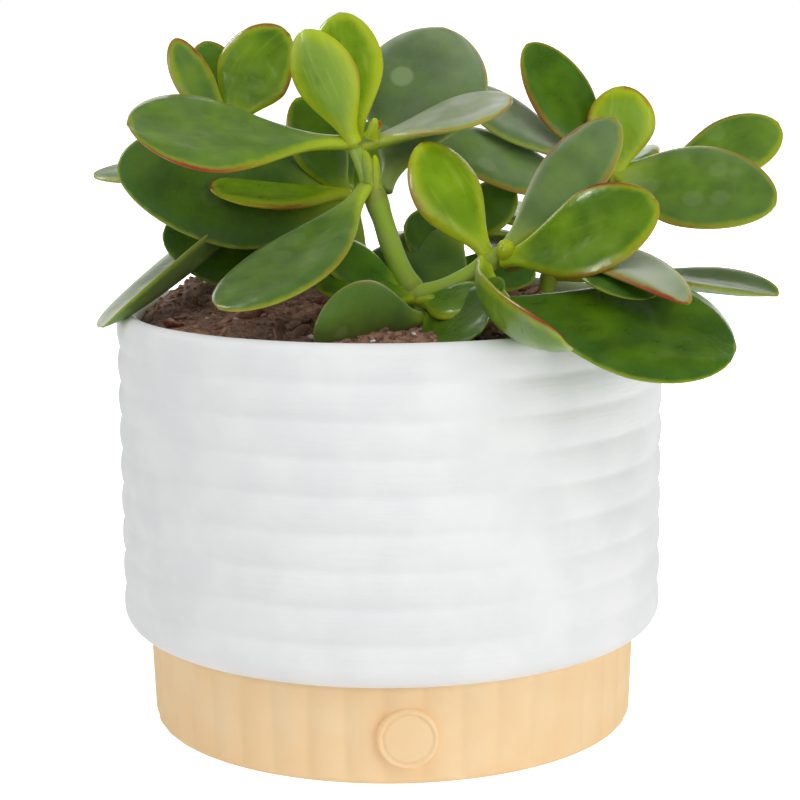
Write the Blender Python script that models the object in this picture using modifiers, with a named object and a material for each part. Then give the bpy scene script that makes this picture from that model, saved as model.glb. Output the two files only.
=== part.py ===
# Jade plant in a ribbed ceramic pot on a fluted drip tray.
# Metres, +Z up. The origin is the centre of the tray's flat underside; the front looks along -Y.

from math import cos, log, pi, radians, sin, sqrt

import bmesh
import bpy
from mathutils import Matrix, Vector

MM = 0.001
GAP = 0.3

# Pot, in mm
POT_R = 63.5
POT_TOP = 97.3
POT_BORE_R = 58.9
RIB_COUNT = 9
RIB_PITCH = 8.03
FIRST_GROOVE_Z = 89.1
GROOVE_DEPTH = 0.85
GROOVE_HALF = 1.9
STEP_Z = 22.0
SPIGOT_R = 53.0
SPIGOT_Z = 5.0
POT_FLOOR_Z = 10.0
DRAIN_R = 6.0
POT_STEPS = 44

# Tray, in mm
TRAY_TOP = STEP_Z - GAP
TRAY_R_TOP = 57.5
TRAY_R_FOOT = 56.7
TRAY_BORE_R = 53.6
TRAY_FLOOR_Z = SPIGOT_Z - GAP
FLUTES = 42
FLUTE_DEPTH = 0.6
FOOT_ROUND = 3.0
DISC_R = 6.65
DISC_Z = 10.9
DISC_TURN = radians(3.4)
DISC_FACE_R = 58.0

# Soil, in mm
SOIL_WALL_Z = 94.0
SOIL_MID_R = 30.0
SOIL_MID_Z = 96.8
SOIL_TOP_Z = 97.4
HOLE_FLOOR_Z = 84.0
STEM_FOOT_Z = HOLE_FLOOR_Z + GAP

# Leaves, in mm
LEAF_RINGS = 8
LEAF_SIDES = 8
LEAF_THICK = 3.4
STALK_HALF = 2.1
TIP_SHARE = 0.996

# Stems: radius at the foot, radius at the end, then the points it runs through
FRONT_STEMS = [
    (
        2.7,
        2.3,
        [(8, -25.5, STEM_FOOT_Z), (8, -25.5, 95.5), (6.5, -25.5, 101), (2.5, -24.5, 108.5), (-3, -21, 124.5)],
    ),
    (2.3, 1.7, [(-2.6, -21.2, 123.5), (-5, -19.5, 130), (-7.4, -18.2, 136)]),
    (2.4, 1.9, [(5, -26, 102), (14.5, -28, 105.5), (24, -28, 111.5)]),
]
LEFT_STEMS = [
    (1.8, 1.5, [(-6.5, 12, STEM_FOOT_Z), (-6.5, 12, 97), (-7.5, 12, 112.5), (-10, 11, 123.5)]),
    (1.6, 1.3, [(-9.5, 11, 122), (-17, 13, 124.5), (-28, 14, 126), (-33.5, 12, 132), (-36, 8.5, 141)]),
]
RIGHT_STEMS = [
    (
        2.3,
        1.7,
        [
            (39, 37, STEM_FOOT_Z),
            (39, 37, 95),
            (41, 35.5, 101.5),
            (48, 30, 110.5),
            (53, 25, 119.5),
            (55.5, 23, 125.5),
        ],
    ),
]
BACK_STEMS = [
    (2.3, 1.8, [(13.5, 22.5, STEM_FOOT_Z), (13.5, 22.5, 98), (14, 21, 106), (15, 20, 114)]),
]

# Leaves: base, tip, width, where the upper face looks, bend along the blade,
# bend to the side, cupping, and where along the blade it is widest
FRONT_LEAVES = [
    ((-7, -19, 136.2), (-56.5, -30, 139.8), 36, (0, -0.45, 1), 10, 0, 0.10, 0.64),
    ((-7.6, -20, 136), (-17.8, -27, 161), 14.6, (0.25, 1, 0.1), 0, 0, 0.14, 0.58),
    ((-7, -17, 135), (-10.8, -9, 164.5), 17, (-0.2, -1, 0.3), 0, 0, 0.12, 0.60),
    ((-6.5, -18, 135), (27.6, -20, 145.5), 27.5, (-0.2, -0.2, 1), -2, 0, 0.10, 0.54),
    ((-5, -22, 126.5), (-36.2, -50, 103.8), 27, (-0.3, -0.4, 1), 16, -26, 0.10, 0.62),
    ((-1, -19, 125.5), (12.8, 4, 161), 29.5, (-0.2, -1, 0.3), 8, 0, 0.10, 0.64),
    ((25, -27, 112), (50.5, -22, 141), 15.5, (-0.4, -1, 0.4), 0, 0, 0.14, 0.60),
    ((25, -29.5, 111), (56.7, -47, 125), 20, (0, -1, 0.6), 34, 12, 0.12, 0.60),
    ((22.3, -28, 111), (7.2, -26, 136.4), 16.3, (0.3, -1, 0.4), 0, 0, -0.10, 0.60),
    ((20.6, -30, 110.2), (35.2, -80, 100), 18.5, (0.7, 0, 0.7), 48, 0, 0.50, 0.52),
    ((25.5, -26, 110), (62.6, -50, 102.4), 14, (0.2, -0.5, 0.9), -42, -26, 0.20, 0.60),
    ((25, -26, 109.5), (56.2, -47.5, 101.7), 16, (0.1, -0.4, 0.9), -52, -36, 0.15, 0.64),
    ((6.5, -27, 102), (72.5, -56, 95.1), 40, (0.15, -0.5, 1), -28, 28, 0.10, 0.77),
    ((7, -26.5, 101.5), (22, -50, 101.5), 17, (-0.1, -0.3, 1), -24, 0, 0.10, 0.60),
    ((7.5, -27, 99.6), (-17, -50, 103), 11.5, (-0.2, 1, 0.3), 0, 0, 0.25, 0.60),
    ((3.2, -25, 103.4), (-15, -35, 115.2), 16, (0.25, -0.2, 0.95), 0, 0, 0.15, 0.58),
    ((6.8, -26, 101.8), (-15.5, -38, 106), 13, (0.2, -0.5, 0.9), -10, 0, 0.15, 0.58),
    ((8.5, -27.5, 99.5), (23, -50, 99), 14, (0, 0, 1), 0, 0, 0.15, 0.60),
]
LEFT_LEAVES = [
    ((-9.5, 10, 122.5), (-40.5, -8, 125), 14, (0, -0.35, 1), 8, 0, 0.12, 0.60),
    ((-10.5, 9, 118), (-62, -6, 130.5), 32, (0, -1, 0.6), -14, 0, 0.10, 0.52),
    ((-27, 14.5, 125), (-64.3, -25, 96), 20, (-0.6, -0.1, 0.8), 14, 35, 0.40, 0.50),
    ((-8.5, 12, 106), (-53, 2, 113.5), 26, (0, -0.9, 0.7), -16, 0, 0.10, 0.60),
    ((-28.5, 14, 126.2), (-70, 12, 127.2), 17, (0, -0.25, 1), -10, 0, 0.12, 0.60),
    ((-36.7, 8, 138.5), (-49, 4, 159), 9.6, (0.3, -1, 0.2), 0, -34, 0.12, 0.58),
    ((-36.5, 9, 140), (-43.5, 12, 158), 12, (0.3, -1, 0.3), 0, 0, 0.12, 0.60),
    ((-36.5, 8, 138), (-24.6, 8, 159.8), 17.5, (-0.1, -1, 0.3), 0, -50, 0.10, 0.54),
    ((-10.5, 11, 121.5), (-21.5, 6, 145), 14, (0.2, -1, 0.4), 0, 0, 0.12, 0.55),
    ((-9.5, 12, 122), (-12, 15, 140.5), 9, (1, -0.6, 0), 0, 0, 0.12, 0.60),
    ((-8.5, 12.5, 119), (-34, 44, 124), 20, (0, 0, 1), -10, 0, 0.12, 0.60),
    ((-9, 12, 120), (-2, 44, 138), 20, (0, -0.6, 1), 5, 0, 0.12, 0.60),
    ((-36, 9, 140), (-40, 34, 146), 13, (0, -0.4, 1), 0, 0, 0.12, 0.60),
    ((-35.5, 9, 139), (-26, 32, 136), 13, (0, -0.3, 1), 0, 0, 0.12, 0.60),
]
RIGHT_LEAVES = [
    ((54, 25, 122.8), (17, 24, 146), 17, (0.1, -0.6, 1), -12, 0, 0.10, 0.68),
    ((52, 25.5, 118.8), (10, 12, 135), 20.5, (0.1, -0.7, 0.9), -8, 0, 0.10, 0.62),
    ((55, 23, 124.5), (33, 21, 156.8), 17.5, (0.4, -1, 0.5), 0, 0, 0.10, 0.62),
    ((55, 22.5, 124.5), (56.2, 19, 146.8), 16.6, (0, -1, 0.5), 0, 0, 0.10, 0.60),
    ((54.5, 23, 126.2), (91, 6, 119.6), 25.5, (0.1, -0.8, 0.6), 0, 0, 0.08, 0.51),
    ((55, 24, 122), (96, 34, 137), 17.5, (0, -0.8, 0.7), 0, 18, 0.10, 0.70),
    ((40, 36, 99.8), (93.5, 14, 97), 17, (0.1, -0.2, 1), -8, 0, 0.30, 0.72),
    ((55, 23.5, 124), (65, 46, 131), 12, (-0.3, -0.3, 0.8), 0, 0, 0.10, 0.60),
    ((55, 24, 123), (54, 54, 133), 16, (0, -0.5, 1), 0, 0, 0.12, 0.60),
    ((44, 33, 106), (46, 66, 106), 22, (0, 0, 1), -24, 0, 0.12, 0.60),
    ((46, 31, 109), (22, 58, 116), 20, (0, 0, 1), -10, 0, 0.12, 0.60),
]
BACK_LEAVES = [
    ((14.5, 20.5, 107.5), (3.5, 10, 114.5), 13, (0.2, -1, 0.4), 0, 0, 0.10, 0.60),
    ((17, 18.5, 112), (3.5, 5, 100.5), 17, (0.3, -0.8, 0.6), 0, 0, 0.10, 0.54),
    ((14, 21, 104), (35, 14, 101.5), 14, (0, -0.7, 0.8), -20, 0, 0.10, 0.60),
    ((14.5, 20.5, 108.5), (30, 24, 123), 13, (-0.3, -1, 0.4), 0, 0, 0.10, 0.60),
    ((14, 22, 102), (-5.5, 16, 105.5), 15, (0, -0.6, 0.9), 0, 0, 0.10, 0.60),
    ((14, 22, 102), (-16, 52, 101), 22, (0, 0, 1), -16, 0, 0.12, 0.60),
    ((15, 21, 112), (34, 52, 101), 22, (0, 0, 1), -30, 0, 0.12, 0.60),
    ((14.5, 21, 110), (4, 50, 109), 16, (0, -0.2, 1), 0, 0, 0.12, 0.60),
]


def clear_scene():
    for obj in list(bpy.data.objects):
        bpy.data.objects.remove(obj, do_unlink=True)
    for old in list(bpy.data.collections):
        bpy.data.collections.remove(old)


def new_collection(name, cutter=False):
    coll = bpy.data.collections.new(name)
    bpy.context.scene.collection.children.link(coll)
    coll.hide_render = cutter
    return coll


def material(name, colour, roughness):
    mat = bpy.data.materials.new(name)
    mat.use_nodes = True
    shader = mat.node_tree.nodes["Principled BSDF"]
    shader.inputs["Base Color"].default_value = (*colour, 1.0)
    shader.inputs["Roughness"].default_value = roughness
    return mat


def add_mesh(name, verts, faces, coll):
    mesh = bpy.data.meshes.new(name)
    mesh.from_pydata([Vector(v) * MM for v in verts], [], faces)
    bm = bmesh.new()
    bm.from_mesh(mesh)
    bmesh.ops.recalc_face_normals(bm, faces=bm.faces[:])
    bm.to_mesh(mesh)
    bm.free()
    obj = bpy.data.objects.new(name, mesh)
    coll.objects.link(obj)
    return obj


def apply_modifiers(obj):
    graph = bpy.context.evaluated_depsgraph_get()
    graph.update()
    mesh = bpy.data.meshes.new_from_object(obj.evaluated_get(graph), depsgraph=graph)
    if obj.type == "MESH":
        obj.modifiers.clear()
        obj.data = mesh
        return obj
    flat = bpy.data.objects.new(obj.name, mesh)
    obj.users_collection[0].objects.link(flat)
    bpy.data.objects.remove(obj, do_unlink=True)
    return flat


def turned(name, profile, steps, coll, closed):
    """A profile of (radius, height) points turned about the Z axis."""
    verts = [(radius, 0.0, height) for radius, height in profile]
    edges = [(i, i + 1) for i in range(len(verts) - 1)]
    if closed:
        edges.append((len(verts) - 1, 0))
    mesh = bpy.data.meshes.new(name)
    mesh.from_pydata([Vector(v) * MM for v in verts], edges, [])
    obj = bpy.data.objects.new(name, mesh)
    coll.objects.link(obj)
    screw = obj.modifiers.new("Turn", "SCREW")
    screw.axis = "Z"
    screw.angle = 2 * pi
    screw.steps = steps
    screw.render_steps = steps
    screw.use_merge_vertices = True
    screw.merge_threshold = 0.00001
    screw.use_normal_calculate = True
    return obj


def boolean(obj, other, operation):
    mod = obj.modifiers.new(operation.title(), "BOOLEAN")
    mod.operation = operation
    mod.solver = "EXACT"
    if isinstance(other, bpy.types.Collection):
        mod.operand_type = "COLLECTION"
        mod.collection = other
    else:
        mod.object = other


def finish(obj, mat):
    obj.data.materials.clear()
    obj.data.materials.append(mat)
    obj.data.shade_smooth()
    obj.data.set_sharp_from_angle(angle=radians(40))


def rod(name, radius, foot, top, coll, sides=24):
    """A plain round rod from one point to another."""
    foot = Vector(foot)
    axis = Vector(top) - foot
    bm = bmesh.new()
    bmesh.ops.create_cone(
        bm,
        cap_ends=True,
        segments=sides,
        radius1=radius * MM,
        radius2=radius * MM,
        depth=axis.length * MM,
    )
    turn = axis.to_track_quat("Z", "Y").to_matrix().to_4x4()
    middle = Matrix.Translation((foot + axis / 2) * MM)
    bmesh.ops.transform(bm, matrix=middle @ turn, verts=bm.verts[:])
    mesh = bpy.data.meshes.new(name)
    bm.to_mesh(mesh)
    bm.free()
    obj = bpy.data.objects.new(name, mesh)
    coll.objects.link(obj)
    return obj


def make_pot(coll):
    rim = [
        (POT_BORE_R + 1.2, POT_TOP),
        (POT_R - 1.6, POT_TOP),
        (POT_R - 0.4, POT_TOP - 1.0),
        (POT_R, POT_TOP - 2.6),
    ]
    ribs = []
    for k in range(RIB_COUNT - 1):
        z = FIRST_GROOVE_Z - k * RIB_PITCH
        ribs += [(POT_R, z + GROOVE_HALF), (POT_R - GROOVE_DEPTH, z), (POT_R, z - GROOVE_HALF)]
    under = [
        (POT_R, STEP_Z + 5.2),
        (POT_R - 1.2, STEP_Z + 1.9),
        (TRAY_R_TOP + 2.2, STEP_Z + 0.3),
        (TRAY_R_TOP - 0.4, STEP_Z),
    ]
    spigot = [(SPIGOT_R, STEP_Z), (SPIGOT_R, SPIGOT_Z + 1.0), (SPIGOT_R - 1.0, SPIGOT_Z), (DRAIN_R, SPIGOT_Z)]
    inside = [
        (DRAIN_R, POT_FLOOR_Z),
        (SPIGOT_R - 4.5, POT_FLOOR_Z),
        (SPIGOT_R - 4.0, STEP_Z + 2.0),
        (POT_BORE_R, STEP_Z + 12.0),
        (POT_BORE_R, POT_TOP - 1.4),
    ]
    return turned("pot", rim + ribs + under + spigot + inside, POT_STEPS, coll, closed=True)


def make_tray(coll, cutters):
    levels = [
        (TRAY_TOP, TRAY_R_TOP),
        (FOOT_ROUND, TRAY_R_FOOT),
        (FOOT_ROUND * 0.3, TRAY_R_FOOT - FOOT_ROUND * 0.3),
        (0.0, TRAY_R_FOOT - FOOT_ROUND),
    ]
    verts = []
    for z, crest in levels:
        for k in range(FLUTES * 3):
            turn = 2 * pi * (k + 0.5) / (FLUTES * 3)
            radius = crest - (FLUTE_DEPTH if k % 3 == 0 else 0.0)
            verts.append((radius * cos(turn), radius * sin(turn), z))
    count = FLUTES * 3
    faces = [tuple(range(count)), tuple(range(3 * count, 4 * count))]
    for row in range(len(levels) - 1):
        for k in range(count):
            a = row * count + k
            b = row * count + (k + 1) % count
            faces.append((a, b, b + count, a + count))
    tray = add_mesh("base_tray", verts, faces, coll)
    bore = rod("tray_bore", TRAY_BORE_R, (0, 0, TRAY_FLOOR_Z), (0, 0, TRAY_TOP + 5), cutters, sides=72)
    aim = (sin(DISC_TURN), -cos(DISC_TURN))
    near = TRAY_BORE_R + 1.5
    disc = rod(
        "tray_disc",
        DISC_R,
        (aim[0] * near, aim[1] * near, DISC_Z),
        (aim[0] * DISC_FACE_R, aim[1] * DISC_FACE_R, DISC_Z),
        cutters,
    )
    boolean(tray, bore, "DIFFERENCE")
    boolean(tray, disc, "UNION")
    return apply_modifiers(tray)


def make_soil(coll, cutters, stems):
    top = [
        (0.0, SOIL_TOP_Z),
        (SOIL_MID_R, SOIL_MID_Z),
        (POT_BORE_R - 8.5, SOIL_WALL_Z + 1.6),
        (POT_BORE_R - GAP, SOIL_WALL_Z),
    ]
    side = [
        (POT_BORE_R - GAP, STEP_Z + 12.3),
        (SPIGOT_R - 4.5 - GAP, STEP_Z + 2.4),
        (SPIGOT_R - 5.0 - GAP, POT_FLOOR_Z + GAP),
        (0.0, POT_FLOOR_Z + GAP),
    ]
    soil = turned("soil", top + side, POT_STEPS, coll, closed=False)
    for number, (radius, foot) in enumerate(stems):
        hole = rod(
            f"stem_hole_{number}",
            radius + 0.4,
            (foot[0], foot[1], HOLE_FLOOR_Z),
            (foot[0], foot[1], SOIL_TOP_Z + 6),
            cutters,
            sides=16,
        )
        boolean(soil, hole, "DIFFERENCE")
    return apply_modifiers(soil)


def make_stem(name, first_radius, last_radius, points, coll):
    curve = bpy.data.curves.new(name, "CURVE")
    curve.dimensions = "3D"
    curve.resolution_u = 4
    curve.bevel_depth = MM
    curve.bevel_resolution = 2
    curve.use_fill_caps = True
    spline = curve.splines.new("BEZIER")
    spline.bezier_points.add(len(points) - 1)
    for k, (knot, point) in enumerate(zip(spline.bezier_points, points)):
        knot.co = Vector(point) * MM
        knot.handle_left_type = "AUTO"
        knot.handle_right_type = "AUTO"
        knot.radius = first_radius + (last_radius - first_radius) * k / (len(points) - 1)
    obj = bpy.data.objects.new(name, curve)
    coll.objects.link(obj)
    return apply_modifiers(obj)


def leaf_frame(base, tip, face):
    along = (tip - base).normalized()
    up = (face - along * face.dot(along)).normalized()
    return along, up.cross(along), up


def leaf_half_width(share, width, widest):
    """Half the blade's width at this share of its length: a narrow stalk, then a blunt oval."""
    t = share ** (log(0.5) / log(widest))
    power = 0.95 if t < 0.5 else 0.6
    blade = width / 2 * sin(pi * t) ** power
    stalk = STALK_HALF * (1 - share) ** 2
    return sqrt(blade * blade + stalk * stalk)


def leaf_half_thick(share, half_width):
    fleshy = 0.45 + 0.55 * sin(pi * min(1.0, 0.25 + 0.75 * share)) ** 0.7
    blunt = min(1.0, (1 - share) * 8 + 0.18)
    return min(LEAF_THICK / 2 * fleshy * blunt, max(half_width, 0.3))


def make_leaf(name, row, coll):
    base, tip, width, face, bend, sway, cup, widest = row
    base = Vector(base)
    tip = Vector(tip)
    along, side, up = leaf_frame(base, tip, Vector(face))
    bend = radians(bend)
    sway = radians(sway)
    fine = 120
    path = [Vector((0, 0, 0))]
    frames = []
    for k in range(fine + 1):
        share = k / fine - 0.5
        ahead = along * cos(sway * share) + side * sin(sway * share)
        across = side * cos(sway * share) - along * sin(sway * share)
        lift = up * cos(bend * share) - ahead * sin(bend * share)
        frames.append((across, lift))
        step = ahead * cos(bend * share) + up * sin(bend * share)
        path.append(path[-1] + step)
    scale = (tip - base).length / path[fine].length
    turn = path[fine].rotation_difference(tip - base)
    verts = []
    for ring in range(LEAF_RINGS):
        k = ring / (LEAF_RINGS - 1)
        share = min(TIP_SHARE, 0.35 * sin(k * pi / 2) ** 0.8 + 0.65 * k)
        half = leaf_half_width(share, width, widest)
        thick = leaf_half_thick(share, half)
        spot = round(share * fine)
        centre = base + turn @ (path[spot] * scale)
        across, lift = frames[spot]
        for j in range(LEAF_SIDES):
            angle = 2 * pi * j / LEAF_SIDES
            x = half * cos(angle)
            z = thick * sin(angle) * abs(sin(angle)) ** 0.25 + cup * half * cos(angle) ** 2
            verts.append(centre + turn @ (across * x + lift * z))
    last = (LEAF_RINGS - 1) * LEAF_SIDES
    faces = [tuple(range(LEAF_SIDES)), tuple(range(last, last + LEAF_SIDES))]
    for ring in range(LEAF_RINGS - 1):
        for j in range(LEAF_SIDES):
            a = ring * LEAF_SIDES + j
            b = ring * LEAF_SIDES + (j + 1) % LEAF_SIDES
            faces.append((a, b, b + LEAF_SIDES, a + LEAF_SIDES))
    return add_mesh(name, verts, faces, coll)


def make_leafy_stem(name, stems, leaves, coll):
    """A stem with its branches and leaves, fused into one body."""
    pieces = new_collection(f"{name}_pieces", cutter=True)
    for k, (first_radius, last_radius, points) in enumerate(stems[1:]):
        make_stem(f"{name}_branch_{k}", first_radius, last_radius, points, pieces)
    for k, row in enumerate(leaves):
        make_leaf(f"{name}_leaf_{k}", row, pieces)
    plant = make_stem(name, *stems[0], coll)
    boolean(plant, pieces, "UNION")
    plant = apply_modifiers(plant)
    for obj in list(pieces.objects):
        bpy.data.objects.remove(obj, do_unlink=True)
    bpy.data.collections.remove(pieces)
    plant.name = name
    return plant


def main():
    clear_scene()
    part = new_collection("potted_jade_plant")
    cutters = new_collection("cutters", cutter=True)

    glaze = material("matte_white_ceramic", (0.86, 0.86, 0.85), 0.55)
    clay = material("tan_clay", (0.80, 0.58, 0.36), 0.7)
    earth = material("potting_soil", (0.06, 0.03, 0.02), 0.95)
    leaf_green = material("jade_leaf", (0.09, 0.22, 0.02), 0.35)

    plants = {
        "front_stem": (FRONT_STEMS, FRONT_LEAVES),
        "left_stem": (LEFT_STEMS, LEFT_LEAVES),
        "right_stem": (RIGHT_STEMS, RIGHT_LEAVES),
        "back_stem": (BACK_STEMS, BACK_LEAVES),
    }
    feet = [(stems[0][0], stems[0][2][0]) for stems, _ in plants.values()]

    finish(apply_modifiers(make_pot(part)), glaze)
    finish(make_tray(part, cutters), clay)
    finish(make_soil(part, cutters, feet), earth)
    for name, (stems, leaves) in plants.items():
        finish(make_leafy_stem(name, stems, leaves, part), leaf_green)

    for obj in cutters.objects:
        obj.hide_render = True
        obj.display_type = "WIRE"


main()
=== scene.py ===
# Looks of the potted jade plant: leafy stems, buds, potting mix, ribbed pot and fluted tray.
# Metres, +Z up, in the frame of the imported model. Sizes in the tables are in millimetres.

import random
from math import cos, exp, log, pi, radians, sin, sqrt

import bmesh
import bpy
from mathutils import Matrix, Vector
from mathutils import noise as grain

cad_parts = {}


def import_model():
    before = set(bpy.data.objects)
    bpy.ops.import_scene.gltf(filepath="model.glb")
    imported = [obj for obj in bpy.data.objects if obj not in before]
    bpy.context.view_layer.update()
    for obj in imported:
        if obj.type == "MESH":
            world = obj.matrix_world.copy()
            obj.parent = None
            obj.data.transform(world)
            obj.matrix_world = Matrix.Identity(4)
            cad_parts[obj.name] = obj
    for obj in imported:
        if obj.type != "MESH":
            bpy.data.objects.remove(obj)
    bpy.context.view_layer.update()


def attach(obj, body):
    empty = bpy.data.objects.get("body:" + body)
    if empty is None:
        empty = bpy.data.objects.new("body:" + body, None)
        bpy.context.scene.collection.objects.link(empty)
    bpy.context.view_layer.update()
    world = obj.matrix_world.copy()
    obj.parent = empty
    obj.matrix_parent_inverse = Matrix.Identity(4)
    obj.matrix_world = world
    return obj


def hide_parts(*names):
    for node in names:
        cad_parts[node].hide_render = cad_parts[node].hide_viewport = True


MM = 0.001

# Camera, worked out from the pot's rim, ribs and foot
LENS_MM = 96.345
SENSOR_MM = 36.0
CAMERA_DISTANCE = 504.87
CAMERA_ELEVATION = radians(10.2)
CAMERA_ROLL = radians(-0.43)
CAMERA_TARGET = (2.252, 0.0, 74.51)

# Brightness of the room as the camera sees it, as it lights the object and as it shows in gloss
ROOM_SEEN = 1.0
ROOM_FILL = 0.34
ROOM_GLOSS = 0.03
FLOOR_GLOW = 0.2
FLOOR_REACH = 30.0
FLOOR_Z = -0.0002
LIT_POINT = (0.0, 0.0, 0.09)

# Pot
POT_R = 63.5
POT_TOP = 97.3
POT_BORE_R = 58.9
RIM_ROUND = 2.2
RIB_PITCH = 8.03
FIRST_GROOVE_Z = 89.1
GROOVES = 8
RIB_BULGE = 0.65
STEP_Z = 22.8
HEEL_ROUND = 5.2
SPIGOT_R = 53.0
SPIGOT_Z = 5.0
POT_FLOOR_Z = 10.0
DRAIN_R = 6.0
POT_STEPS = 224

# Tray
TRAY_TOP = 22.5
TRAY_R_TOP = 57.5
TRAY_R_FOOT = 56.7
TRAY_BORE_R = 53.6
TRAY_FLOOR_Z = 4.7
FLUTES = 42
FLUTE_STEPS = 12
FLUTE_DEPTH = 0.8
FLUTE_CROWN = 0.75
FLUTE_TURN = radians(2.5)
FOOT_ROUND = 1.8
DISC_R = 6.65
DISC_Z = 10.9
DISC_TURN = radians(3.4)
DISC_FACE_R = 57.9

# Potting mix
SOIL_R = 58.6
SOIL_WALL_Z = 94.0
SOIL_MID_R = 30.0
SOIL_MID_Z = 96.8
SOIL_TOP_Z = 97.4
SOIL_FLOOR_Z = 10.3
SOIL_EDGE = 8.2
SOIL_EDGE_RISE = 1.6
SOIL_RINGS = 56
SOIL_STEPS = 168
HEAP_X = -38.0
HEAP_Y = 26.0
HEAP_RISE = 8.0
HEAP_REACH = 15.0

# Leaves and stems
LEAF_RINGS = 40
LEAF_SIDES = 32
LEAF_THICK = 3.4
STALK_HALF = 2.1
ROLL = 0.08
PATH_STEPS = 120
STEM_SIDES = 20
STEM_STEPS = 14
STEM_FOOT_Z = 84.3

# Stems: radius at the foot, radius at the end, youth, then the points it runs through
FRONT_STEMS = [
    (2.7, 2.3, 0.35, [
        (8, -25.5, STEM_FOOT_Z), (8, -25.5, 95.5), (6.5, -25.5, 101), (2.5, -24.5, 108.5), (-3, -21, 124.5),
    ]),
    (2.3, 1.7, 0.75, [(-2.6, -21.2, 123.5), (-5, -19.5, 130), (-7.4, -18.2, 136)]),
    (2.4, 1.9, 0.7, [(5, -26, 102), (14.5, -28, 105.5), (24, -28, 111.5)]),
]
LEFT_STEMS = [
    (1.8, 1.5, 0.5, [(-6.5, 12, STEM_FOOT_Z), (-6.5, 12, 97), (-7.5, 12, 112.5), (-10, 11, 123.5)]),
    (1.6, 1.3, 0.5, [(-9.5, 11, 122), (-17, 13, 124.5), (-28, 14, 126), (-33.5, 12, 132), (-36, 8.5, 141)]),
]
RIGHT_STEMS = [
    (2.3, 1.7, 0.5, [
        (39, 37, STEM_FOOT_Z), (39, 37, 95), (41, 35.5, 101.5),
        (48, 30, 110.5), (53, 25, 119.5), (55.5, 23, 125.5),
    ]),
]
BACK_STEMS = [
    (2.3, 1.8, 0.3, [(13.5, 22.5, STEM_FOOT_Z), (13.5, 22.5, 98), (14, 21, 106), (15, 20, 114)]),
]

# Leaves: base, tip, width, where the upper face looks, bend along the blade, bend to the side, cupping,
# where along the blade it is widest, youth from 0 to 1, redness of the margin, grey powdery wax and its
# painted sheen
FRONT_LEAVES = [
    ((-7, -19, 136.2), (-56.5, -30, 141), 36, (0, -0.45, 1), 10, 0, 0.10, 0.69, 0.45, 1.0, 0.32),
    ((-7.6, -20, 136), (-17.8, -27, 161), 14.6, (0.25, 1, 0.1), 0, 0, 0.14, 0.58, 1.0, 0.6, 0.25),
    ((-7, -17, 135), (-10.8, -9, 164.5), 17, (-0.2, -1, 0.3), 0, 0, 0.12, 0.60, 0.85, 0.2, 0.0),
    ((-6.5, -18, 135), (27.6, -20, 145.5), 27.5, (-0.2, -0.2, 1), -2, 0, 0.10, 0.66, 0.45, 1.0, 1.0),
    ((-5, -22, 126.5), (-36.2, -50, 103.8), 27, (-0.3, -0.4, 1), 16, -26, 0.10, 0.62, 0.25, 0.5, 0.3),
    ((-1, -19, 125.5), (12.8, 4, 161), 29.5, (-0.2, -1, 0.3), 8, 0, 0.10, 0.64, 0.10, 0.3, 1.0),
    ((25, -27, 112), (50.5, -22, 141), 15.5, (-0.4, -1, 0.4), 0, 0, -0.06, 0.60, 0.30, 0.9, 0.8),
    ((25, -29.5, 111), (56.7, -47, 125), 20.5, (0, -1, 0.6), -16, 28, 0.10, 0.60, 0.55, 1.0, 0.0),
    ((22.3, -28, 111), (7.2, -26, 136.4), 16.3, (0.3, -1, 0.4), 0, 0, -0.20, 0.60, 0.85, 0.6, 0.0),
    ((20.6, -30, 110.2), (35.2, -80, 100), 18.5, (0.7, 0, 0.7), 48, 0, 0.50, 0.52, 0.45, 1.0, 0.15),
    ((27, -20.5, 109.8), (61.78, -59, 104.8), 13.4, (0.2, -0.5, 0.9), -36, -26, 0.20, 0.60, 0.35, 1.0, 1.0),
    ((27, -20, 108.5), (56.16, -49, 105), 16, (0.1, -0.6, 0.8), -60, 0, 0.15, 0.78, 0.05, 0.1, 0.1),
    ((6.5, -27, 102), (72.5, -56, 95.1), 40, (0.15, -0.5, 1), -28, 28, 0.10, 0.77, 0.15, 0.1, 0.1),
    ((7, -26.5, 101.5), (20.4, -42, 103), 12, (0.1, -0.8, 0.6), -10, 0, 0.10, 0.60, 0.40, 0.2, 0.1),
    # These two low leaves lie in the canopy's shade, and their youth is set low partly as painted shade:
    # their green is darkened for it.
    ((8, -27.5, 97.4), (-15.5, -50, 99.8), 19, (-0.2, 1, 0.3), 0, 0, 0.25, 0.60, 0.0, 0.3, 0.9),
    ((3.2, -25, 103.4), (-15, -33, 114.5), 12, (0.4, -0.9, 0.6), 0, 0, 0.15, 0.58, 0.15, 0.3, 0.1),
    ((6.8, -26, 101.8), (-15.5, -38, 106), 13, (0.2, -0.5, 0.9), -10, 0, 0.15, 0.58, 0.35, 0.2, 0.2),
    ((8.5, -27.5, 98.5), (19.5, -54, 98.74), 27, (0.1, -0.95, 0.3), 0, 0, 0.15, 0.60, 0.0, 0.1, 0.1),
]
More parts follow.
